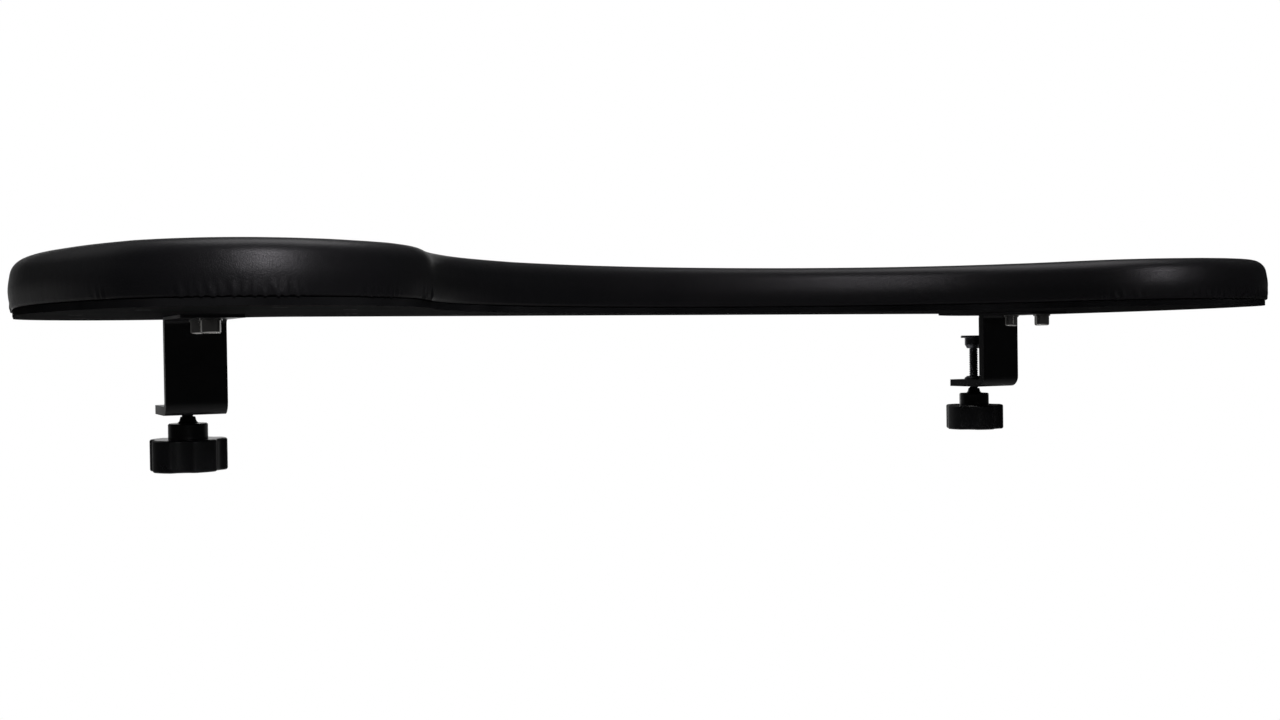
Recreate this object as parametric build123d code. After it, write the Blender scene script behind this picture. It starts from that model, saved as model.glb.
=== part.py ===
from build123d import *
import os
from math import cos, radians, sin

os.makedirs("parts", exist_ok=True)

# A forearm rest pad for the edge of a desk, held by two screw clamps.
# Millimetres. X runs along the desk edge, +Y goes from the sitter to the desk, +Z is up.
# The origin is on the pad's underside, above the front edge of the desk, midway between the clamps.

# plan of the pad, right half: tangent arcs from the middle of the belly recess,
# round the wing, up the end and round the ear that lies on the desk
BELLY_MIDDLE = (0, -44)
ARC_ENDS = [
    (140, -88),
    (194, -154),
    (261, -202),
    (331, -162),
    (358, -20),
    (355, 25),
    (298, 71),
    (247, 28),
]
BRIDGE_BACK_Y = 4
EAR_FILLET_R = 28

# layers of the pad, from the underside up
BASE_T = 3.2
CORE_T = 9.0
FOAM_T = 13.4
SKIN_T = 0.9
HEM_WIDTH = 16.0
TOP_EDGE_R = 8.0
LIP_R = 1.5
BASE_INSET = 1.0
SLOT_CLEARANCE = 0.5
HEM_Z = BASE_T + SKIN_T
CORE_TOP = BASE_T + CORE_T
FOAM_TOP = CORE_TOP + FOAM_T

# clamp brackets: flat steel bar bent into a Z
CLAMP_X = 270.0
BAR_WIDTH = 31.0
BAR_T = 4.7
BEND_R = 7.0
UPPER_FLANGE = 53.0
LOWER_FLANGE = 31.7
BRACKET_BOTTOM = -50.6
BAR_CORNER_R = 2.0
UPPER_UNDERSIDE = BASE_T - BAR_T
LOWER_TOP = BRACKET_BOTTOM + BAR_T

# quarter-inch hardware that holds each bracket to the core
BOLT_D = 6.35
BOLT_YS = (-14.5, -44.5)
BOLT_HEAD_D = 9.5
BOLT_HEAD_H = 6.35
BOLT_LENGTH = 12.7
HEX_SOCKET_AF = 4.76
HEX_SOCKET_DEPTH = 3.0
BOLT_HEAD_EDGE_R = 1.2
BOLT_HOLE_D = 7.0
WASHER_D = 11.0
WASHER_T = 1.2
NUT_FLANGE_D = 19.0
NUT_FLANGE_T = 1.3
NUT_BARREL_D = 8.0
NUT_BARREL_BOTTOM = 4.7

# clamp screw, the bush it turns in, and the swivel foot on its tip
SCREW_Y = 23.4
SCREW_D = 6.35
BUSH_CLEARANCE = 0.05
BUSH_SPIGOT_D = 9.5
BUSH_COLLAR_D = 13.0
BUSH_COLLAR_H = 2.2
FOOT_TOP = -14.9
FOOT_DISC_D = 17.6
FOOT_DISC_T = 1.7
FOOT_BOSS_D = 12.0
FOOT_BOTTOM = -24.0
FOOT_BOTTOM_D = 9.0
TIP_D = 6.1
TIP_NECK_D = 4.7
TIP_PLAY = 0.1

# lobed hand knob
KNOB_D = 40.0
KNOB_TOP = -64.0
KNOB_BOTTOM = -81.0
KNOB_LOBES = 5
SCALLOP_R = 10.0
SCALLOP_DEPTH = 2.6
LOBE_BLEND_R = 2.5
KNOB_EDGE_R = 1.2
KNOB_RECESS_D = 24.0
KNOB_RECESS_DEPTH = 1.5
HUB_D = 20.4
HUB_TOP = -55.8
NECK_TOP = -52.3
NECK_TOP_D = 7.6
NECK_BASE_D = 11.0
NECK_BORE_D = 6.6
INSERT_D = 9.5
INSERT_TOP = -57.0
INSERT_BOTTOM = -76.0
# direction of one scallop on each knob, in degrees from +X
SCALLOP_ANGLE = {"left": 34.3, "right": 1.0}

# small fasteners under the pad
BASE_SCREW_XYS = [(0, -20), (70, -23), (140, -40), (205, -62), (226, -134), (266, -172)]
BASE_SCREW_XYS += [(314, -134), (332, -50), (322, 26), (222, -22)]
WOOD_SCREW_HEAD_D = 6.6
WOOD_SCREW_SHANK_D = 3.2
WOOD_SCREW_TIP_Z = 9.4
WOOD_SCREW_HEAD_H = 1.9
CROSS_LENGTH = 3.4
CROSS_WIDTH = 0.8
CROSS_DEPTH = 0.8
STAPLE_COUNT = 60
STAPLE_CROWN = 9.5
STAPLE_WIRE = 0.7
STAPLE_CROWN_T = 0.5
STAPLE_TOP_Z = 9.0


def save(shape, name):
    shape.label = name
    export_step(shape, f"parts/{name}.step")


def pad_plan():
    """Plan outline of the upholstered pad as a flat face at Z = 0."""
    edges = []
    start = Vector(*BELLY_MIDDLE)
    heading = Vector(1, 0)
    for end in ARC_ENDS:
        arc = TangentArc(start, end, tangent=heading)
        edges.append(arc)
        start = arc @ 1
        heading = arc % 1
    corner = start + heading * ((BRIDGE_BACK_Y - start.Y) / heading.Y)
    middle = Vector(0, BRIDGE_BACK_Y)
    edges.append(Line(start, corner))
    edges.append(Line(corner, middle))
    edges.append(Line(middle, BELLY_MIDDLE))
    half = make_face(edges)
    whole = half + mirror(half, about=Plane.YZ)
    reach = (corner - middle).length
    corners = [v for v in whole.vertices() if abs(abs(v.X) - reach) < 0.5 and v.Y < 10]
    return fillet(corners, EAR_FILLET_R)


PLAN = pad_plan()


def slab(inset, bottom, top):
    """The pad's plan, drawn in by inset, between two heights."""
    face = offset(PLAN, amount=-inset) if inset else PLAN
    return Pos(0, 0, bottom) * extrude(face, amount=top - bottom)


def cylinder(x, y, diameter, bottom, top):
    return Pos(x, y, bottom) * extrude(Circle(diameter / 2), amount=top - bottom)


def turned(profile, x, y):
    """A solid of revolution about a vertical axis; profile is a list of (radius, z)."""
    face = make_face(Plane.XZ * Polyline(*profile, close=True))
    return Pos(x, y, 0) * revolve(face, Axis.Z)


def make_cover():
    shell = slab(0, BASE_T, FOAM_TOP + SKIN_T)
    shell = fillet(shell.edges().group_by(Axis.Z)[-1], TOP_EDGE_R)
    shell = fillet(shell.edges().group_by(Axis.Z)[0], LIP_R)
    cavity = slab(SKIN_T, HEM_Z, FOAM_TOP)
    cavity = fillet(cavity.edges().group_by(Axis.Z)[-1], TOP_EDGE_R - SKIN_T)
    mouth = slab(SKIN_T + HEM_WIDTH, BASE_T, HEM_Z)
    return shell - cavity - mouth


def make_foam():
    foam = slab(SKIN_T, CORE_TOP, FOAM_TOP)
    return fillet(foam.edges().group_by(Axis.Z)[-1], TOP_EDGE_R - SKIN_T)


def make_core():
    """Plywood core, rebated underneath so that the hem of the cover lies flush."""
    core = slab(SKIN_T, HEM_Z, CORE_TOP) + slab(SKIN_T + HEM_WIDTH, BASE_T, HEM_Z)
    for x in (-CLAMP_X, CLAMP_X):
        for y in BOLT_YS:
            core -= cylinder(x, y, NUT_BARREL_D, BASE_T, CORE_TOP)
            core -= cylinder(x, y, NUT_FLANGE_D, CORE_TOP - NUT_FLANGE_T, CORE_TOP)
    for x, y in base_screw_places():
        core -= cylinder(x, y, WOOD_SCREW_SHANK_D, BASE_T, WOOD_SCREW_TIP_Z)
    return core


def make_base_board():
    """Thin bottom board, with a slot where each bracket's upper flange meets the core."""
    board = slab(BASE_INSET, 0, BASE_T)
    for x in (-CLAMP_X, CLAMP_X):
        slot_length = UPPER_FLANGE + 2 * SLOT_CLEARANCE
        slot = Box(BAR_WIDTH + 2 * SLOT_CLEARANCE, slot_length, BASE_T)
        board -= Pos(x, -UPPER_FLANGE / 2, BASE_T / 2) * slot
    for x, y in base_screw_places():
        board -= wood_screw(x, y)
    return board


def base_screw_places():
    return BASE_SCREW_XYS + [(-x, y) for x, y in BASE_SCREW_XYS if x]


def wood_screw(x, y):
    head = WOOD_SCREW_HEAD_D / 2
    shank = WOOD_SCREW_SHANK_D / 2
    profile = [
        (0, 0),
        (head, 0),
        (shank, WOOD_SCREW_HEAD_H),
        (shank, WOOD_SCREW_TIP_Z - 2),
        (0, WOOD_SCREW_TIP_Z),
    ]
    return turned(profile, x, y)


def make_base_screws():
    recess = Box(CROSS_LENGTH, CROSS_WIDTH, 2 * CROSS_DEPTH)
    recess += Box(CROSS_WIDTH, CROSS_LENGTH, 2 * CROSS_DEPTH)
    return Compound(children=[wood_screw(x, y) - Pos(x, y, 0) * recess for x, y in base_screw_places()])


def make_staples():
    """Staples through the hem, set round the pad half way across the hem."""
    line = offset(PLAN, amount=-(SKIN_T + HEM_WIDTH / 2)).face().outer_wire()
    leg_h = STAPLE_TOP_Z - BASE_T
    crown = Pos(0, 0, BASE_T + STAPLE_CROWN_T / 2) * Box(STAPLE_CROWN, STAPLE_WIRE, STAPLE_CROWN_T)
    leg = Box(STAPLE_WIRE, STAPLE_WIRE, leg_h)
    reach = (STAPLE_CROWN - STAPLE_WIRE) / 2
    staple = crown
    for side in (-reach, reach):
        staple += Pos(side, 0, BASE_T + leg_h / 2) * leg
    staples = []
    for i in range(STAPLE_COUNT):
        at = (i + 0.5) / STAPLE_COUNT
        point = line @ at
        along = line % at
        turn = Vector(1, 0, 0).get_signed_angle(along, Vector(0, 0, 1))
        staples.append(Pos(point.X, point.Y, 0) * Rot(0, 0, turn) * staple)
    return Compound(children=staples)


def make_bracket(x):
    upper = Pos(-UPPER_FLANGE / 2, (BASE_T + UPPER_UNDERSIDE) / 2) * Rectangle(UPPER_FLANGE, BAR_T)
    height = BASE_T - BRACKET_BOTTOM
    upright = Pos(-BAR_T / 2, BASE_T - height / 2) * Rectangle(BAR_T, height)
    reach = LOWER_FLANGE + BAR_T
    lower = Pos(LOWER_FLANGE - reach / 2, BRACKET_BOTTOM + BAR_T / 2) * Rectangle(reach, BAR_T)
    profile = upper + upright + lower

    def corners(*places):
        return [v for v in profile.vertices() if any(abs(v.X - y) + abs(v.Y - z) < 0.01 for y, z in places)]

    profile = fillet(corners((0, BASE_T), (-BAR_T, BRACKET_BOTTOM)), BEND_R)
    profile = fillet(corners((-BAR_T, UPPER_UNDERSIDE), (0, LOWER_TOP)), BEND_R - BAR_T)
    bar = Pos(x, 0, 0) * extrude(Plane.YZ * profile, amount=BAR_WIDTH / 2, both=True)
    ends = bar.edges().filter_by(Axis.Z).sort_by(Axis.Y)
    bar = fillet(ends[:2] + ends[-2:], BAR_CORNER_R)
    for y in BOLT_YS:
        bar -= cylinder(x, y, BOLT_HOLE_D, UPPER_UNDERSIDE, BASE_T)
    return bar - cylinder(x, SCREW_Y, BUSH_SPIGOT_D, BRACKET_BOTTOM, LOWER_TOP)


def make_bolts(x):
    bolts = []
    seat = UPPER_UNDERSIDE - WASHER_T
    for y in BOLT_YS:
        head = cylinder(x, y, BOLT_HEAD_D, seat - BOLT_HEAD_H, seat)
        head = fillet(head.edges().sort_by(Axis.Z)[0], BOLT_HEAD_EDGE_R)
        socket = extrude(RegularPolygon(HEX_SOCKET_AF / 2, 6, major_radius=False), amount=HEX_SOCKET_DEPTH)
        bolt = head - Pos(x, y, seat - BOLT_HEAD_H) * socket
        bolts.append(bolt + cylinder(x, y, BOLT_D, seat, seat + BOLT_LENGTH))
    return Compound(children=bolts)


def make_washers(x):
    washers = []
    for y in BOLT_YS:
        ring = cylinder(x, y, WASHER_D, UPPER_UNDERSIDE - WASHER_T, UPPER_UNDERSIDE)
        washers.append(ring - cylinder(x, y, BOLT_HOLE_D, UPPER_UNDERSIDE - WASHER_T, UPPER_UNDERSIDE))
    return Compound(children=washers)


def make_insert_nuts(x):
    nuts = []
    for y in BOLT_YS:
        nut = cylinder(x, y, NUT_FLANGE_D, CORE_TOP - NUT_FLANGE_T, CORE_TOP)
        nut += cylinder(x, y, NUT_BARREL_D, NUT_BARREL_BOTTOM, CORE_TOP)
        nuts.append(nut - cylinder(x, y, BOLT_D, NUT_BARREL_BOTTOM, CORE_TOP))
    return Compound(children=nuts)


def make_bush(x):
    bore = SCREW_D / 2 + BUSH_CLEARANCE
    spigot = BUSH_SPIGOT_D / 2
    collar = BUSH_COLLAR_D / 2
    top = LOWER_TOP + BUSH_COLLAR_H
    profile = [
        (bore, BRACKET_BOTTOM),
        (spigot, BRACKET_BOTTOM),
        (spigot, LOWER_TOP),
        (collar, LOWER_TOP),
        (collar, LOWER_TOP + 0.8),
        (collar - 1.8, top),
        (bore, top),
    ]
    return turned(profile, x, SCREW_Y)


def make_foot(x):
    """Foot that the screw's tip turns in: a wide disc on a boss crimped round the tip's neck."""
    lip_bore = TIP_NECK_D / 2 + TIP_PLAY
    chamber = TIP_D / 2 + TIP_PLAY
    chamber_top = FOOT_TOP - FOOT_DISC_T - 0.8
    disc_bottom = FOOT_TOP - FOOT_DISC_T
    profile = [
        (0, chamber_top),
        (chamber, chamber_top),
        (chamber, FOOT_BOTTOM + 1.2),
        (lip_bore, FOOT_BOTTOM + 1.2),
        (lip_bore, FOOT_BOTTOM),
        (FOOT_BOTTOM_D / 2, FOOT_BOTTOM),
        (FOOT_BOSS_D / 2, FOOT_BOTTOM + 2.6),
        (FOOT_BOSS_D / 2, disc_bottom),
        (FOOT_DISC_D / 2 - 0.3, disc_bottom),
        (FOOT_DISC_D / 2, disc_bottom + 0.3),
        (FOOT_DISC_D / 2, FOOT_TOP - 0.5),
        (FOOT_DISC_D / 2 - 0.5, FOOT_TOP),
        (0, FOOT_TOP),
    ]
    return turned(profile, x, SCREW_Y)


def make_screw(x):
    tip_top = FOOT_TOP - FOOT_DISC_T - 0.8 - TIP_PLAY
    tip_bottom = FOOT_BOTTOM + 1.2 + TIP_PLAY
    thread_top = FOOT_BOTTOM - TIP_PLAY
    r = SCREW_D / 2
    profile = [
        (0, INSERT_BOTTOM),
        (r - 0.6, INSERT_BOTTOM),
        (r, INSERT_BOTTOM + 0.6),
        (r, thread_top - 0.6),
        (TIP_NECK_D / 2, thread_top),
        (TIP_NECK_D / 2, tip_bottom),
        (TIP_D / 2, tip_bottom),
        (TIP_D / 2, tip_top - 0.6),
        (TIP_D / 2 - 0.6, tip_top),
        (0, tip_top),
    ]
    return turned(profile, x, SCREW_Y)


def make_knob(x, scallop_angle):
    outline = Circle(KNOB_D / 2)
    distance = KNOB_D / 2 + SCALLOP_R - SCALLOP_DEPTH
    for i in range(KNOB_LOBES):
        angle = radians(scallop_angle + 360 * i / KNOB_LOBES)
        outline -= Pos(distance * cos(angle), distance * sin(angle)) * Circle(SCALLOP_R)
    outline = fillet(outline.vertices(), LOBE_BLEND_R)
    body = Pos(0, 0, KNOB_BOTTOM) * extrude(outline, amount=KNOB_TOP - KNOB_BOTTOM)
    body = fillet(body.edges().group_by(Axis.Z)[-1], KNOB_EDGE_R)
    body = fillet(body.edges().group_by(Axis.Z)[0], KNOB_EDGE_R)
    hub = HUB_D / 2
    neck = [
        (0, KNOB_TOP - 1),
        (hub, KNOB_TOP - 1),
        (hub, HUB_TOP - 0.6),
        (hub - 0.6, HUB_TOP),
        (NECK_BASE_D / 2, HUB_TOP),
        (NECK_BASE_D / 2 - 1.1, HUB_TOP + 1.2),
        (NECK_TOP_D / 2, NECK_TOP),
        (0, NECK_TOP),
    ]
    knob = Pos(x, SCREW_Y, 0) * body + turned(neck, x, SCREW_Y)
    knob -= cylinder(x, SCREW_Y, INSERT_D, INSERT_BOTTOM, INSERT_TOP)
    knob -= cylinder(x, SCREW_Y, NECK_BORE_D, INSERT_TOP, NECK_TOP)
    return knob - cylinder(x, SCREW_Y, KNOB_RECESS_D, KNOB_BOTTOM, KNOB_BOTTOM + KNOB_RECESS_DEPTH)


def make_insert(x):
    ring = cylinder(x, SCREW_Y, INSERT_D, INSERT_BOTTOM, INSERT_TOP)
    return ring - cylinder(x, SCREW_Y, SCREW_D, INSERT_BOTTOM, INSERT_TOP)


save(make_cover(), "upholstery_cover")
save(make_foam(), "foam_pad")
save(make_core(), "core_board")
save(make_base_board(), "base_board")
save(make_base_screws(), "base_screws")
save(make_staples(), "hem_staples")

for side, x in (("left", -CLAMP_X), ("right", CLAMP_X)):
    save(make_bracket(x), f"clamp_bracket_{side}")
    save(make_bolts(x), f"bracket_bolts_{side}")
    save(make_washers(x), f"bracket_washers_{side}")
    save(make_insert_nuts(x), f"insert_nuts_{side}")
    save(make_bush(x), f"threaded_bush_{side}")
    save(make_foot(x), f"clamp_foot_{side}")
    save(make_screw(x), f"clamp_screw_{side}")
    save(make_knob(x, SCALLOP_ANGLE[side]), f"knob_{side}")
    save(make_insert(x), f"knob_insert_{side}")
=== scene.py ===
from math import cos, pi, sin

import bmesh
import bpy
import numpy as np
from mathutils import Matrix, Vector
from mathutils.geometry import delaunay_2d_cdt
from mathutils.kdtree import KDTree
from mathutils.noise import noise as noise_at

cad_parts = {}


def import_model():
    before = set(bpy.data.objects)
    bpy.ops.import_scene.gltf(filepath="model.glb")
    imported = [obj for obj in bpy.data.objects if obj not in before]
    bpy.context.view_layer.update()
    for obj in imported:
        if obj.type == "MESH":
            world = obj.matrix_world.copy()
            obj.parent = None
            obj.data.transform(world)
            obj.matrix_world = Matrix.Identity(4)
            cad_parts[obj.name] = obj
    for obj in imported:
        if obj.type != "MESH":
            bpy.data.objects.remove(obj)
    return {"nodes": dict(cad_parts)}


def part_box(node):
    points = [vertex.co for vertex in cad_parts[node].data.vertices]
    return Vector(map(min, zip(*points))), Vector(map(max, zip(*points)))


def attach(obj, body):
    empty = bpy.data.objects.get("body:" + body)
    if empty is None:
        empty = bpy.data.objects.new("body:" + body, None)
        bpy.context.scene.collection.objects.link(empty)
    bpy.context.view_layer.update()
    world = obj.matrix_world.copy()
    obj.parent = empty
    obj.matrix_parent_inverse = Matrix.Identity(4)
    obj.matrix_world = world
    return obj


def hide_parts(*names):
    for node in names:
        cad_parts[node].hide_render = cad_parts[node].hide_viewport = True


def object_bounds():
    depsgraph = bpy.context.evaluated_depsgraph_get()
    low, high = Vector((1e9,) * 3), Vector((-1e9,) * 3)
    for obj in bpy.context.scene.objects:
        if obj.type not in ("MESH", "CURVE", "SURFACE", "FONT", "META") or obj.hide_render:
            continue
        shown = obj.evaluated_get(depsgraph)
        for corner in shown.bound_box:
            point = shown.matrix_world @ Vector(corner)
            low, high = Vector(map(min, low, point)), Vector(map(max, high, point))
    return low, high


# A forearm rest pad for the edge of a desk: a vinyl-covered pad on two screw clamps.
# Metres and radians, in the CAD frame: X along the desk edge, +Y to the desk, +Z up.

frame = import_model()
CAD_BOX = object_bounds()
MM = 0.001
SIDES = ("left", "right")

# the camera, low in front of the left wing and turned towards the right one
CAMERA_PLACE = (-0.40105, -0.74523, -0.01693)
CAMERA_YAW = 0.483
CAMERA_PITCH = -0.012
CAMERA_ROLL = -0.015
CAMERA_LENS = 39.23
SENSOR_WIDTH = 36

# The world is plain white to the camera. Gloss mirrors a round backdrop, a sweep round it
# below the horizon, a glow high behind the left wing and pale upper walls. Every ray also
# sees a dimmer backdrop, a ceiling and a ground. A pair says where a part starts and where
# it is full: as the cosine of the angle to its middle, or as the height of the direction.
BACKDROP_YAW = 0.23
BACKDROP_EDGE = (0.91, 0.957)
BACKDROP_LIGHT = 0.6
SWEEP_EDGE = (0.25, 0.65)
SWEEP_LIGHT = 0.19
HORIZON = (0.05, 0.0)
GLOW_TOWARDS = (-0.50, 0.60, 0.62)
GLOW_EDGE = (0.86, 0.97)
GLOW_LIGHT = 0.3
WALLS_RISE = (0.22, 0.55)
WALLS_LIGHT = 0.09
CEILING_RISE = (0.35, 0.95)
CEILING_LIGHT = 0.06
GROUND_FALL = (-0.20, -0.60)
GROUND_LIGHT = 0.10
LEAST_LIGHT = 0.02

# the floor, about as far below the pad as a desk is high; it fades out towards its rim
FLOOR_DROP = 0.70
FLOOR_REACH = 1.9
FLOOR_CORNERS = 96
FLOOR_GREY = 0.78
FLOOR_FADE = (0.45, 0.98)
FLOOR_WHITENING = 0.7

# the upholstered pad: vinyl drawn over the foam and folded under the core board
COVER_LO, COVER_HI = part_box("upholstery_cover")
FOAM_LO, FOAM_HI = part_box("foam_pad")
SKIN = COVER_HI.x - FOAM_HI.x
TOP_EDGE_R = 8 * MM
LIP_R = 2.4 * MM
HEM = 16 * MM
HEM_ROWS = (1.0, 0.6, 0.3)
LIP_ROWS = 5
WALL_SPANS = 4
TOP_EDGE_SPANS = 5
BULGE = 0.8 * MM
STEP = 2.5 * MM
TOP_STEP = 6 * MM
TOP_INSETS = (4 * MM, 9 * MM)

# The cloth that presses the vinyl out. Its swelling is evened out in rounds, in which each
# point takes a share from its neighbours, a larger one where it hasn't swollen at all.
CLOTH_FRAMES = 20
CLOTH_PRESSURE = 4
MOST_SWELL = 1.2 * MM
SWELL_ROUNDS = 30
SWELL_SHARE = 0.25
FLAT_SHARE = 0.5

# The gathers at the fold: their size and spacing, where along the edge they bunch, and the
# bend of the edge, as one over its radius in metres, at which they start and are full.
GATHER_LIFT = 1.45 * MM
GATHER_HEIGHT = 4.5 * MM
GATHER_PITCH = 4.0 * MM
GATHER_BENDS = (3.0, 9.0)
GATHER_PLACES = 40.33
BUNCH_RATE = 0.16
BUNCH_EDGE = (0.42, 0.62)
BEND_SPAN = 8

# the thread of a quarter-inch screw, which runs out below the foot into a plain turned tip
PITCH = 1.27 * MM
THREAD_DEPTH = 0.62 * MM
THREAD_CORNERS = 40
THREAD_ROWS = 10
THREAD_STOP = 1.6 * PITCH
RUNOUT = 1.4 * PITCH
RUNOUT_SPANS = 8
LEAD_IN = 1.2 * PITCH
NECK_SHARE = 0.74
TIP_SHARE = 0.96
TIP_RISE = 1.3 * MM
TIP_BEVEL = 0.6 * MM


# ---------------------------------------------------------------- materials

def node(tree, kind, inputs=None, **settings):
    """Adds a shader node, with its inputs given as values or as sockets to link from."""
    made = tree.nodes.new("ShaderNode" + kind)
    for name, value in settings.items():
        setattr(made, name, value)
    for name, value in (inputs or {}).items():
        if isinstance(value, bpy.types.NodeSocket):
            tree.links.new(value, made.inputs[name])
        else:
            made.inputs[name].default_value = value
    return made


def material(name, **sockets):
    """A Principled material with plain values on its own sockets."""
    made = bpy.data.materials.new(name)
    made.use_nodes = True
    shader = made.node_tree.nodes["Principled BSDF"]
    for socket, value in sockets.items():
        shader.inputs[socket.replace("_", " ")].default_value = value
    return made


def parts_of(made):
    return made.node_tree, made.node_tree.nodes["Principled BSDF"]


def place(tree, stretch=(1, 1, 1)):
    """Positions in metres on the object, stretched along an axis for brushed or rolled marks."""
    coords = node(tree, "TexCoord")
    return node(tree, "Mapping", {"Vector": coords.outputs["Object"], "Scale": stretch}).outputs[0]


def noise(tree, where, scale, detail=3.0, roughness=0.5):
    inputs = {"Vector": where, "Scale": scale, "Detail": detail, "Roughness": roughness}
    return node(tree, "TexNoise", inputs).outputs["Fac"]


def ramp(tree, value, low, high, start=0.3, end=0.7):
    """A value remapped between two colours or two numbers over its middle range."""
    if isinstance(low, (int, float)):
        inputs = {"Value": value, "From Min": start, "From Max": end, "To Min": low, "To Max": high}
        return node(tree, "MapRange", inputs).outputs[0]
    made = node(tree, "ValToRGB", {"Fac": value})
    made.color_ramp.elements[0].position = start
    made.color_ramp.elements[0].color = (*low, 1)
    made.color_ramp.elements[1].position = end
    made.color_ramp.elements[1].color = (*high, 1)
    return made.outputs["Color"]


def bump(tree, height, distance, strength, under=None):
    inputs = {"Height": height, "Distance": distance, "Strength": strength}
    if under:
        inputs["Normal"] = under
    return node(tree, "Bump", inputs).outputs[0]


def finish_with(tree, shader, **sockets):
    for socket, value in sockets.items():
        tree.links.new(value, shader.inputs[socket.replace("_", " ")])


def vinyl():
    """Black upholstery vinyl: fine leather grain, a little uneven in gloss."""
    tint = (0.98, 0.94, 1.0, 1.0)
    made = material("black_vinyl", IOR=1.5, Specular_IOR_Level=0.16, Specular_Tint=tint)
    tree, shader = parts_of(made)
    where = place(tree)
    cells = node(tree, "TexVoronoi", {"Vector": where, "Scale": 900.0}, feature="DISTANCE_TO_EDGE")
    creases = node(tree, "MapRange", {"Value": cells.outputs["Distance"], "From Max": 0.12})
    pebbles = noise(tree, where, scale=420.0, detail=4.0)
    dimples = noise(tree, where, scale=170.0)
    broad = noise(tree, where, scale=26.0)
    wear = noise(tree, where, scale=9.0, detail=5.0, roughness=0.6)
    grain = bump(tree, creases.outputs[0], distance=0.045 * MM, strength=0.42)
    grain = bump(tree, pebbles, distance=0.06 * MM, strength=0.28, under=grain)
    grain = bump(tree, dimples, distance=0.22 * MM, strength=0.5, under=grain)
    finish_with(
        tree, shader,
        Base_Color=ramp(tree, wear, (0.0036, 0.0036, 0.0042), (0.0060, 0.0058, 0.0066)),
        Roughness=ramp(tree, broad, 0.37, 0.43),
        Normal=bump(tree, broad, distance=0.25 * MM, strength=0.25, under=grain),
    )
    return made


def bottom_board():
    """Thin black board with a pressed, slightly mottled face."""
    made = material("black_hardboard", IOR=1.45, Specular_IOR_Level=0.008)
    tree, shader = parts_of(made)
    where = place(tree)
    fibres = noise(tree, where, scale=240.0, detail=6.0, roughness=0.65)
    blotches = noise(tree, where, scale=34.0, detail=4.0)
    finish_with(
        tree, shader,
        Base_Color=ramp(tree, blotches, (0.0036, 0.0036, 0.0040), (0.0078, 0.0078, 0.0084)),
        Roughness=ramp(tree, fibres, 0.80, 0.95),
        Normal=bump(tree, fibres, distance=0.12 * MM, strength=0.5),
    )
    return made


def powder_coat():
    """Satin black powder coat, with its fine orange peel."""
    made = material("black_powder_coat", IOR=1.5, Specular_IOR_Level=0.28)
    tree, shader = parts_of(made)
    where = place(tree)
    peel = noise(tree, where, scale=650.0, detail=2.0)
    broad = noise(tree, where, scale=40.0, detail=4.0)
    finish_with(
        tree, shader,
        Base_Color=ramp(tree, broad, (0.0110, 0.0110, 0.0122), (0.0160, 0.0160, 0.0174)),
        Roughness=ramp(tree, broad, 0.34, 0.44),
        Normal=bump(tree, peel, distance=0.06 * MM, strength=0.45),
    )
    return made


def knob_plastic():
    """Moulded black plastic with a faint texture."""
    made = material("knob_plastic", IOR=1.48, Specular_IOR_Level=0.42)
    tree, shader = parts_of(made)
    where = place(tree)
    texture = noise(tree, where, scale=1100.0)
    broad = noise(tree, where, scale=70.0, detail=4.0)
    finish_with(
        tree, shader,
        Base_Color=ramp(tree, broad, (0.0115, 0.0115, 0.0132), (0.0170, 0.0170, 0.0190)),
        Roughness=ramp(tree, broad, 0.26, 0.34),
        Normal=bump(tree, texture, distance=0.03 * MM, strength=0.4),
    )
    return made


def metal(name, dark, light, smooth, rough):
    """A bare or plated metal: specks that change its gloss and surface, and broad patches of colour."""
    made = material(name, Metallic=1.0)
    tree, shader = parts_of(made)
    marks = noise(tree, place(tree), scale=300.0, detail=5.0, roughness=0.6)
    broad = noise(tree, place(tree), scale=37.5, detail=4.0)
    finish_with(
        tree, shader,
        Base_Color=ramp(tree, broad, dark, light),
        Roughness=ramp(tree, marks, smooth, rough),
        Normal=bump(tree, marks, distance=0.02 * MM, strength=0.35),
    )
    return made


def blackened_steel():
    """Oiled black oxide on machined steel, worn a little brighter in places."""
    made = material("blackened_steel", Metallic=0.85)
    tree, shader = parts_of(made)
    marks = noise(tree, place(tree, stretch=(1, 1, 4)), scale=420.0, detail=5.0, roughness=0.6)
    worn = noise(tree, place(tree), scale=90.0, detail=5.0, roughness=0.7)
    finish_with(
        tree, shader,
        Base_Color=ramp(tree, worn, (0.080, 0.081, 0.090), (0.170, 0.170, 0.184)),
        Roughness=ramp(tree, marks, 0.24, 0.38),
        Normal=bump(tree, marks, distance=0.02 * MM, strength=0.4),
    )
    return made


def black_screws():
    """Black phosphated wood screws, dull and a little dusty."""
    made = material("black_steel_screws", IOR=1.45, Specular_IOR_Level=0.05)
    tree, shader = parts_of(made)
    marks = noise(tree, place(tree), scale=900.0, detail=4.0)
    finish_with(
        tree, shader,
        Base_Color=ramp(tree, marks, (0.0042, 0.0042, 0.0046), (0.0090, 0.0090, 0.0096)),
        Roughness=ramp(tree, marks, 0.60, 0.80),
        Normal=bump(tree, marks, distance=0.03 * MM, strength=0.4),
    )
    return made


def plywood():
    """Raw plywood: long grain on the faces and plies on the edge."""
    made = material("plywood", IOR=1.45)
    tree, shader = parts_of(made)
    grain = noise(tree, place(tree, stretch=(6, 90, 900)), scale=1.0, detail=8.0, roughness=0.62)
    pores = noise(tree, place(tree, stretch=(60, 900, 900)), scale=1.0, detail=4.0, roughness=0.6)
    finish_with(
        tree, shader,
        Base_Color=ramp(tree, grain, (0.36, 0.23, 0.11), (0.62, 0.45, 0.26)),
        Roughness=ramp(tree, pores, 0.60, 0.78),
        Normal=bump(tree, pores, distance=0.15 * MM, strength=0.5),
    )
    return made


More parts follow.
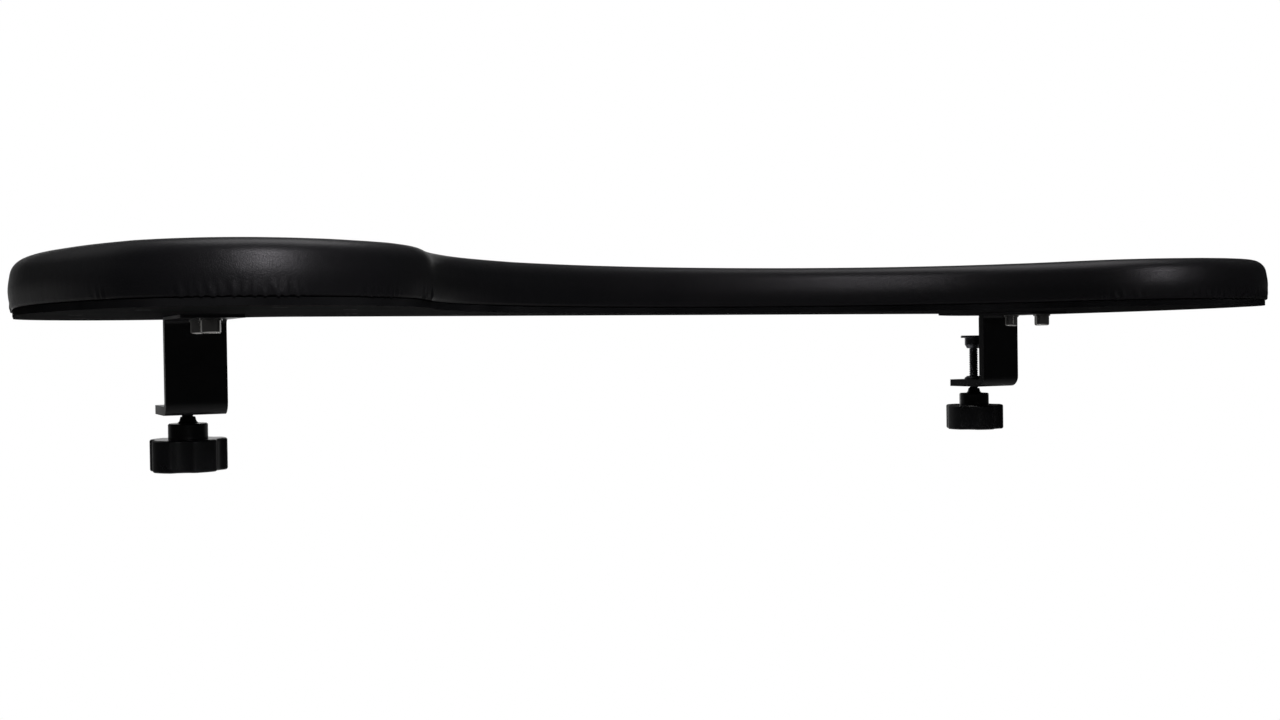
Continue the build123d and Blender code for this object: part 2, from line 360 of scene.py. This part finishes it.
def foam():
    """Open-cell upholstery foam."""
    made = material("foam", IOR=1.3, Subsurface_Weight=0.15, Subsurface_Scale=0.004)
    tree, shader = parts_of(made)
    where = place(tree)
    cells = node(tree, "TexVoronoi", {"Vector": where, "Scale": 620.0})
    pores = cells.outputs["Distance"]
    finish_with(
        tree, shader,
        Base_Color=ramp(tree, pores, (0.46, 0.42, 0.30), (0.72, 0.68, 0.54)),
        Roughness=ramp(tree, noise(tree, where, scale=60.0), 0.80, 0.95),
        Normal=bump(tree, pores, distance=0.5 * MM, strength=0.7),
    )
    return made


def paint_cad_parts():
    black_steel = blackened_steel()
    nickel = metal("nickel_plate", (0.60, 0.59, 0.57), (0.74, 0.73, 0.71), smooth=0.06, rough=0.13)
    zinc = metal("zinc_plate", (0.48, 0.49, 0.50), (0.64, 0.64, 0.64), smooth=0.28, rough=0.42)
    brass = metal("brass_insert", (0.56, 0.38, 0.14), (0.74, 0.55, 0.24), smooth=0.26, rough=0.40)
    wire = metal("staple_wire", (0.50, 0.50, 0.49), (0.64, 0.64, 0.62), smooth=0.24, rough=0.38)
    paints = {
        "core_board": plywood(), "base_board": bottom_board(), "base_screws": black_screws(),
        "hem_staples": wire, "foam_pad": foam(), "upholstery_cover": VINYL,
    }
    coat, plastic = powder_coat(), knob_plastic()
    for side in SIDES:
        paints |= {
            f"clamp_bracket_{side}": coat, f"bracket_bolts_{side}": nickel,
            f"bracket_washers_{side}": nickel, f"insert_nuts_{side}": zinc,
            f"threaded_bush_{side}": black_steel, f"clamp_foot_{side}": black_steel,
            f"clamp_screw_{side}": black_steel, f"knob_{side}": plastic, f"knob_insert_{side}": brass,
        }
    for name, paint in paints.items():
        slots = frame["nodes"][name].data.materials
        slots.clear()
        slots.append(paint)


# ---------------------------------------------------------------- the cover

def foam_outline():
    """The foam's lower edge as points in counter-clockwise order."""
    merge, level, upright, flat = 0.01 * MM, 0.05 * MM, 0.5, 0.9
    shape = bmesh.new()
    shape.from_mesh(frame["nodes"]["foam_pad"].data)
    bmesh.ops.remove_doubles(shape, verts=shape.verts, dist=merge)
    near = {}
    for edge in shape.edges:
        if any(abs(v.co.z - FOAM_LO.z) > level for v in edge.verts) or len(edge.link_faces) != 2:
            continue
        tilts = sorted(abs(face.normal.z) for face in edge.link_faces)
        if tilts[0] < upright and tilts[1] > flat:
            a, b = edge.verts
            near.setdefault(a, []).append(b)
            near.setdefault(b, []).append(a)
    start = max(near, key=lambda v: (v.co.x, v.co.y))
    walk, last = [start], None
    while len(walk) == 1 or walk[-1] != start:
        here = walk[-1]
        ahead = [v for v in near[here] if v != last]
        last = here
        walk.append(ahead[0])
    points = np.array([v.co.xy for v in walk[:-1]])
    shape.free()
    after = np.roll(points, -1, 0)
    turn = (points[:, 0] * after[:, 1] - points[:, 1] * after[:, 0]).sum()
    return points if turn > 0 else points[::-1]


def outward(points):
    """Unit vectors that point out of a counter-clockwise loop at each of its points."""
    along = np.roll(points, -1, 0) - np.roll(points, 1, 0)
    along /= np.linalg.norm(along, axis=1)[:, None]
    return np.stack([along[:, 1], -along[:, 0]], 1)


def even(points, step):
    """The same closed loop with points an even step apart, rounded off a little."""
    ends = np.vstack([points, points[:1]])
    run = np.r_[0, np.linalg.norm(np.diff(ends, axis=0), axis=1).cumsum()]
    where = np.linspace(0, run[-1], round(run[-1] / step), endpoint=False)
    spread = np.stack([np.interp(where, run, ends[:, i]) for i in (0, 1)], 1)
    for _ in range(2):
        spread = (np.roll(spread, 1, 0) + 2 * spread + np.roll(spread, -1, 0)) / 4
    return spread


def cover_profile():
    """Inset from the widest line, and height, from the end of the hem round to the top."""
    low, high = COVER_LO.z, COVER_HI.z
    rows = [(HEM * part, low) for part in HEM_ROWS]
    for k in range(LIP_ROWS):
        turn = pi / 2 * k / (LIP_ROWS - 1)
        rows.append((LIP_R * (1 - sin(turn)), low + LIP_R * (1 - cos(turn))))
    wall_low, wall_high = low + LIP_R, high - TOP_EDGE_R
    for k in range(1, WALL_SPANS):
        part = k / WALL_SPANS
        rows.append((-BULGE * sin(pi * part), wall_low + (wall_high - wall_low) * part))
    for k in range(TOP_EDGE_SPANS + 1):
        turn = pi / 2 * k / TOP_EDGE_SPANS
        rows.append((TOP_EDGE_R * (1 - cos(turn)), wall_high + TOP_EDGE_R * sin(turn)))
    return rows + [(TOP_EDGE_R + inset, high) for inset in TOP_INSETS]


def fill_points(rim):
    """A triangular grid of points inside a loop, clear of its edge."""
    row_share, clearance = 0.866, 0.7
    lo, hi = rim.min(0), rim.max(0)
    rows = []
    for row, y in enumerate(np.arange(lo[1], hi[1], TOP_STEP * row_share)):
        xs = np.arange(lo[0] + (row % 2) * TOP_STEP / 2, hi[0], TOP_STEP)
        rows.append(np.stack([xs, np.full(len(xs), y)], 1))
    grid = np.vstack(rows)
    a, b = rim, np.roll(rim, -1, 0)
    keep = []
    for point in grid:
        spans = (a[:, 1] > point[1]) != (b[:, 1] > point[1])
        part = (point[1] - a[spans, 1]) / (b[spans, 1] - a[spans, 1])
        cut = a[spans, 0] + part * (b - a)[spans, 0]
        clear = np.linalg.norm(rim - point, axis=1).min() > clearance * TOP_STEP
        keep.append(clear and (cut > point[0]).sum() % 2 == 1)
    return grid[np.array(keep)]


def ring_faces(rings, count):
    """Quads between rings of points, each ring with the same count of points."""
    faces = []
    for ring in range(rings - 1):
        low, high = ring * count, (ring + 1) * count
        for i in range(count):
            j = (i + 1) % count
            faces.append((low + i, low + j, high + j, high + i))
    return faces


def cover_cage(outline):
    """Rings of quads from the hem to the top, closed by triangles over the flat of the pad."""
    rows, out = cover_profile(), outward(outline)
    count = len(outline)
    places = [(*point, z) for inset, z in rows for point in outline - out * inset]
    faces = ring_faces(len(rows), count)
    first = (len(rows) - 1) * count
    rim = outline - out * rows[-1][0]
    inner = fill_points(rim)
    flat = [Vector(point) for point in np.vstack([rim, inner])]
    border = [(i, (i + 1) % count) for i in range(count)]
    made = delaunay_2d_cdt(flat, border, [list(range(count))], 1, 1e-6)
    assert len(made[0]) == len(flat)
    places += [(*point, COVER_HI.z) for point in inner]
    for face in made[2]:
        ids = [made[3][i][0] + first for i in face]
        corners = [flat[i - first] for i in ids]
        if (corners[1] - corners[0]).cross(corners[2] - corners[0]) < 0:
            ids.reverse()
        faces.append(ids)
    mesh = bpy.data.meshes.new("vinyl_cover")
    mesh.from_pydata(places, [], faces)
    mesh.update()
    cover = bpy.data.objects.new("vinyl_cover", mesh)
    bpy.context.scene.collection.objects.link(cover)
    held = cover.vertex_groups.new(name="held")
    held.add(list(range((len(HEM_ROWS) + LIP_ROWS) * count)), 1.0, "REPLACE")
    return cover


def coordinates(mesh):
    flat = np.zeros(len(mesh.vertices) * 3)
    mesh.vertices.foreach_get("co", flat)
    return flat.reshape(-1, 3)


def settle(cover):
    """Presses the vinyl out as cloth, held along the hem.

    The foam lies close behind it, so only the outward part of the movement is kept."""
    before = coordinates(cover.data)
    facing = np.array([v.normal for v in cover.data.vertices])
    cloth = cover.modifiers.new("cloth", "CLOTH")
    made = cloth.settings
    made.quality = 5
    made.mass = 0.4
    made.tension_stiffness = made.compression_stiffness = 40
    made.shear_stiffness = 20
    made.bending_stiffness = 8
    made.use_pressure = True
    made.uniform_pressure_force = CLOTH_PRESSURE
    made.vertex_group_mass = "held"
    made.effector_weights.gravity = 0
    cloth.collision_settings.use_collision = False
    scene = bpy.context.scene
    for step in range(1, CLOTH_FRAMES + 1):
        scene.frame_set(step)
    shaped = cover.evaluated_get(bpy.context.evaluated_depsgraph_get())
    swell = ((coordinates(shaped.data) - before) * facing).sum(1).clip(0)
    cover.modifiers.remove(cloth)
    scene.frame_set(1)
    pairs = np.array([edge.vertices for edge in cover.data.edges])
    neighbours = np.bincount(pairs.ravel(), minlength=len(swell))
    taken = np.where(swell == 0, FLAT_SHARE, SWELL_SHARE)
    for _ in range(SWELL_ROUNDS):
        total = np.bincount(pairs[:, 0], swell[pairs[:, 1]], len(swell))
        total += np.bincount(pairs[:, 1], swell[pairs[:, 0]], len(swell))
        swell = (1 - taken) * swell + taken * total / neighbours
    swell *= MOST_SWELL / (MOST_SWELL + swell)
    cover.data.vertices.foreach_set("co", (before + facing * swell[:, None]).ravel())
    cover.data.update()


def apply_modifiers(made):
    shaped = made.evaluated_get(bpy.context.evaluated_depsgraph_get())
    mesh = bpy.data.meshes.new_from_object(shaped)
    made.modifiers.clear()
    made.data = mesh


def soft_step(value, start, end):
    part = np.clip((value - start) / (end - start), 0, 1)
    return part * part * (3 - 2 * part)


def gather(cover, outline):
    """Gathers the vinyl at the fold, in small bunches where it is drawn round the outer curves."""
    reach, deepest = 2.2 * GATHER_HEIGHT, 0.45 * LIP_R
    ahead = np.roll(outline, -BEND_SPAN, 0) - outline
    behind = outline - np.roll(outline, BEND_SPAN, 0)
    turned = behind[:, 0] * ahead[:, 1] - behind[:, 1] * ahead[:, 0]
    bend = np.arctan2(turned, (behind * ahead).sum(1))
    tight = soft_step(bend / (BEND_SPAN * STEP), *GATHER_BENDS)
    tree = KDTree(len(outline))
    for i, point in enumerate(outline):
        tree.insert((*point, 0), i)
    tree.balance()
    out = outward(outline)
    places = coordinates(cover.data)
    height = places[:, 2] - COVER_LO.z
    for k in np.nonzero(height < reach)[0]:
        x, y, _ = places[k]
        near, i, _ = tree.find((x, y, 0))
        depth = (near.x - x) * out[i][0] + (near.y - y) * out[i][1]
        if depth > deepest:
            continue
        sideways = (x - near.x) * -out[i][1] + (y - near.y) * out[i][0]
        run = (i * STEP + sideways) / GATHER_PITCH
        slant = height[k] / GATHER_HEIGHT
        crowd = 0.5 + 0.5 * noise_at(Vector((run * BUNCH_RATE, GATHER_PLACES, 0)))
        bunch = soft_step(crowd, *BUNCH_EDGE)
        # each fold wanders and leans a little, and no two are of one size
        wander = run + 0.4 * noise_at(Vector((run * 0.7, slant * 0.5, 9.1))) + 0.25 * slant
        fold = (0.5 + 0.5 * cos(2 * pi * wander)) ** 2
        size = 0.65 + 0.35 * noise_at(Vector((run * 0.9, 0, 21.3)))
        fade = 1 - soft_step(slant, 0.25, 1.7)
        # a faint ripple is left where the edge is straight or bends inwards
        lift = GATHER_LIFT * (0.06 + 0.94 * tight[i]) * bunch * size * fade * fold
        down = 0.85 * (1 - soft_step(height[k], 0.2 * LIP_R, 1.3 * LIP_R))
        places[k] += (out[i][0] * lift, out[i][1] * lift, -down * lift)
    cover.data.vertices.foreach_set("co", places.ravel())
    cover.data.update()


def vinyl_cover():
    outline = even(foam_outline(), STEP)
    outline = outline + outward(outline) * SKIN
    cover = cover_cage(outline)
    settle(cover)
    finer = cover.modifiers.new("finer", "SUBSURF")
    finer.levels = finer.render_levels = 1
    apply_modifiers(cover)
    gather(cover, outline)
    skin = cover.modifiers.new("skin", "SOLIDIFY")
    skin.thickness = SKIN
    skin.offset = -1
    cover.data.shade_smooth()
    cover.data.materials.append(VINYL)
    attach(cover, "pad")
    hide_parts("upholstery_cover")


# ---------------------------------------------------------------- the clamp screws

def screw_profile(low, high, foot_low, full):
    """Radius, height and depth of thread, from the lower end of a screw to its tip in the foot."""
    profile = []
    z = low
    while z < foot_low - THREAD_STOP:
        profile.append((full, z, 1.0))
        z += PITCH / THREAD_ROWS
    for k in range(RUNOUT_SPANS + 1):
        part = k / RUNOUT_SPANS
        profile.append((full - 0.5 * THREAD_DEPTH * part, z + RUNOUT * part, 1 - part))
    neck, tip = full * NECK_SHARE, full * TIP_SHARE
    neck_low = profile[-1][1]
    tip_low = foot_low + TIP_RISE
    return profile + [
        (neck, neck_low + 0.1 * MM, 0), (neck, tip_low, 0), (tip, tip_low + 0.05 * MM, 0),
        (tip, high - TIP_BEVEL, 0), (tip - TIP_BEVEL, high, 0),
    ]


def clamp_screw(side, paint):
    """A right-hand screw thread with a plain turned tip, in place of the CAD's smooth shaft."""
    lo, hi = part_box(f"clamp_screw_{side}")
    foot_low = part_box(f"clamp_foot_{side}")[0].z
    middle = (lo + hi) / 2
    profile = screw_profile(lo.z, hi.z, foot_low, (hi.x - lo.x) / 2)
    places = []
    for radius, height, cut in profile:
        for i in range(THREAD_CORNERS):
            turn = 2 * pi * i / THREAD_CORNERS
            phase = ((height - lo.z) / PITCH - i / THREAD_CORNERS) % 1
            # 0 at the crest and 1 at the root, both a little flat, with straight flanks between
            groove = min(1.0, max(0.0, 1.25 * abs(2 * phase - 1) - 0.1))
            start = min(1.0, (height - lo.z) / LEAD_IN)
            near = radius - cut * THREAD_DEPTH * groove
            near -= (1 - start) * 0.5 * THREAD_DEPTH
            places.append((middle.x + near * cos(turn), middle.y + near * sin(turn), height))
    faces = ring_faces(len(profile), THREAD_CORNERS)
    faces.append(list(reversed(range(THREAD_CORNERS))))
    faces.append([(len(profile) - 1) * THREAD_CORNERS + i for i in range(THREAD_CORNERS)])
    mesh = bpy.data.meshes.new(f"threaded_screw_{side}")
    mesh.from_pydata(places, [], faces)
    mesh.update()
    mesh.shade_smooth()
    mesh.set_sharp_from_angle(angle=0.7)
    made = bpy.data.objects.new(f"threaded_screw_{side}", mesh)
    bpy.context.scene.collection.objects.link(made)
    made.data.materials.append(paint)
    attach(made, f"knob_and_screw_{side}")
    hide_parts(f"clamp_screw_{side}")


# ---------------------------------------------------------------- the studio

def camera():
    yaw, pitch, roll = CAMERA_YAW, CAMERA_PITCH, CAMERA_ROLL
    ahead = Vector((sin(yaw) * cos(pitch), cos(yaw) * cos(pitch), sin(pitch)))
    side = Vector((cos(yaw), -sin(yaw), 0))
    up = side.cross(ahead)
    right = cos(roll) * side + sin(roll) * up
    upright = cos(roll) * up - sin(roll) * side
    made = bpy.data.objects.new("camera", bpy.data.cameras.new("camera"))
    made.data.lens = CAMERA_LENS
    made.data.sensor_width = SENSOR_WIDTH
    made.data.clip_start = 0.01
    turn = Matrix((right, upright, -ahead)).transposed().to_4x4()
    made.matrix_world = Matrix.Translation(CAMERA_PLACE) @ turn
    bpy.context.scene.collection.objects.link(made)
    bpy.context.scene.camera = made


def softbox(name, place_at, aim, width, height, power, spread=pi):
    """A rectangular lamp turned to the point it is aimed at, and left out of the camera's view."""
    lamp = bpy.data.lights.new(name, "AREA")
    lamp.shape = "RECTANGLE"
    lamp.size, lamp.size_y = width, height
    lamp.energy = power
    lamp.spread = spread
    made = bpy.data.objects.new(name, lamp)
    turn = (Vector(aim) - Vector(place_at)).to_track_quat("-Z", "Y")
    made.matrix_world = Matrix.Translation(place_at) @ turn.to_matrix().to_4x4()
    made.visible_camera = False
    bpy.context.scene.collection.objects.link(made)


def world():
    """White behind the object, a mirrored backdrop, sweep, glow and walls, and soft fill light."""
    made = bpy.data.worlds.new("studio")
    bpy.context.scene.world = made
    made.use_nodes = True
    tree = made.node_tree
    direction = node(tree, "TexCoord").outputs["Generated"]

    def towards(way):
        return node(tree, "VectorMath", {0: direction, 1: way}, operation="DOT_PRODUCT").outputs["Value"]

    def share(value, span, strength):
        inputs = {"Value": value, "From Min": span[0], "From Max": span[1], "To Max": strength}
        return node(tree, "MapRange", inputs, interpolation_type="SMOOTHSTEP").outputs[0]

    def more(a, b):
        return node(tree, "Math", {0: a, 1: b}, operation="MAXIMUM").outputs[0]

    def times(a, b):
        return node(tree, "Math", {0: a, 1: b}, operation="MULTIPLY").outputs[0]

    facing = towards((sin(BACKDROP_YAW), cos(BACKDROP_YAW), 0))
    height = node(tree, "SeparateXYZ", {0: direction}).outputs["Z"]
    path = node(tree, "LightPath").outputs
    backdrop = share(facing, BACKDROP_EDGE, 1.0)
    sweep = times(share(facing, SWEEP_EDGE, SWEEP_LIGHT), share(height, HORIZON, 1.0))
    glow = share(towards(Vector(GLOW_TOWARDS).normalized()), GLOW_EDGE, GLOW_LIGHT)
    walls = share(height, WALLS_RISE, WALLS_LIGHT)
    mirrored = times(more(more(backdrop, sweep), more(glow, walls)), path["Is Glossy Ray"])
    ceiling = share(height, CEILING_RISE, CEILING_LIGHT)
    ground = share(height, GROUND_FALL, GROUND_LIGHT)
    fill = more(more(times(backdrop, BACKDROP_LIGHT), ceiling), more(ground, LEAST_LIGHT))
    open_view = more(path["Is Camera Ray"], path["Is Transmission Ray"])
    strength = more(fill, more(mirrored, open_view))
    tree.links.new(strength, tree.nodes["Background"].inputs["Strength"])
    tree.nodes["Background"].inputs["Color"].default_value = (1, 1, 1, 1)


def floor():
    """A pale round floor that melts into the white background at its rim."""
    low = CAD_BOX[0][2] - FLOOR_DROP
    bpy.ops.mesh.primitive_circle_add(
        vertices=FLOOR_CORNERS, radius=FLOOR_REACH, fill_type="NGON", location=(0, 0, low),
    )
    made = bpy.context.object
    made.name = "floor"
    grey = (FLOOR_GREY, FLOOR_GREY, FLOOR_GREY, 1)
    paint = material("pale_floor", Base_Color=grey, Roughness=0.9)
    tree, shader = parts_of(paint)
    coords = node(tree, "TexCoord").outputs["Object"]
    reach = node(tree, "VectorMath", {0: coords}, operation="LENGTH").outputs["Value"]
    start, end = (part * FLOOR_REACH for part in FLOOR_FADE)
    span = {"Value": reach, "From Min": start, "From Max": end}
    fade = node(tree, "MapRange", span, interpolation_type="SMOOTHSTEP").outputs[0]
    clear = node(tree, "BsdfTransparent").outputs[0]
    seen = node(tree, "LightPath").outputs["Is Camera Ray"]
    whitened = node(tree, "Math", {0: seen, 1: FLOOR_WHITENING}, operation="MULTIPLY").outputs[0]
    white = node(tree, "Emission", {"Color": (1, 1, 1, 1), "Strength": 1.0}).outputs[0]
    pale = node(tree, "MixShader", {0: whitened, 1: shader.outputs[0], 2: white}).outputs[0]
    mix = node(tree, "MixShader", {0: fade, 1: pale, 2: clear}).outputs[0]
    tree.links.new(mix, tree.nodes["Material Output"].inputs["Surface"])
    made.data.materials.append(paint)


def studio():
    """Camera, world and floor, with a narrow-beamed lamp for each wing and a large lamp overhead."""
    camera()
    world()
    floor()
    softbox("key_left", (-0.40, -1.55, 0.76), aim=(-0.29, -0.2, 0),
            width=0.56, height=0.90, power=2.1, spread=0.62)
    softbox("key_right", (-0.20, -1.55, 0.76), aim=(0.36, -0.12, 0),
            width=0.26, height=0.60, power=0.32, spread=0.28)
    softbox("overhead", (0.0, 0.25, 1.9), aim=(0, 0, 0), width=1.8, height=1.2, power=26)


bpy.context.scene.view_settings.view_transform = "Standard"
VINYL = vinyl()
paint_cad_parts()
vinyl_cover()
for side in SIDES:
    clamp_screw(side, frame["nodes"][f"clamp_foot_{side}"].data.materials[0])
studio()
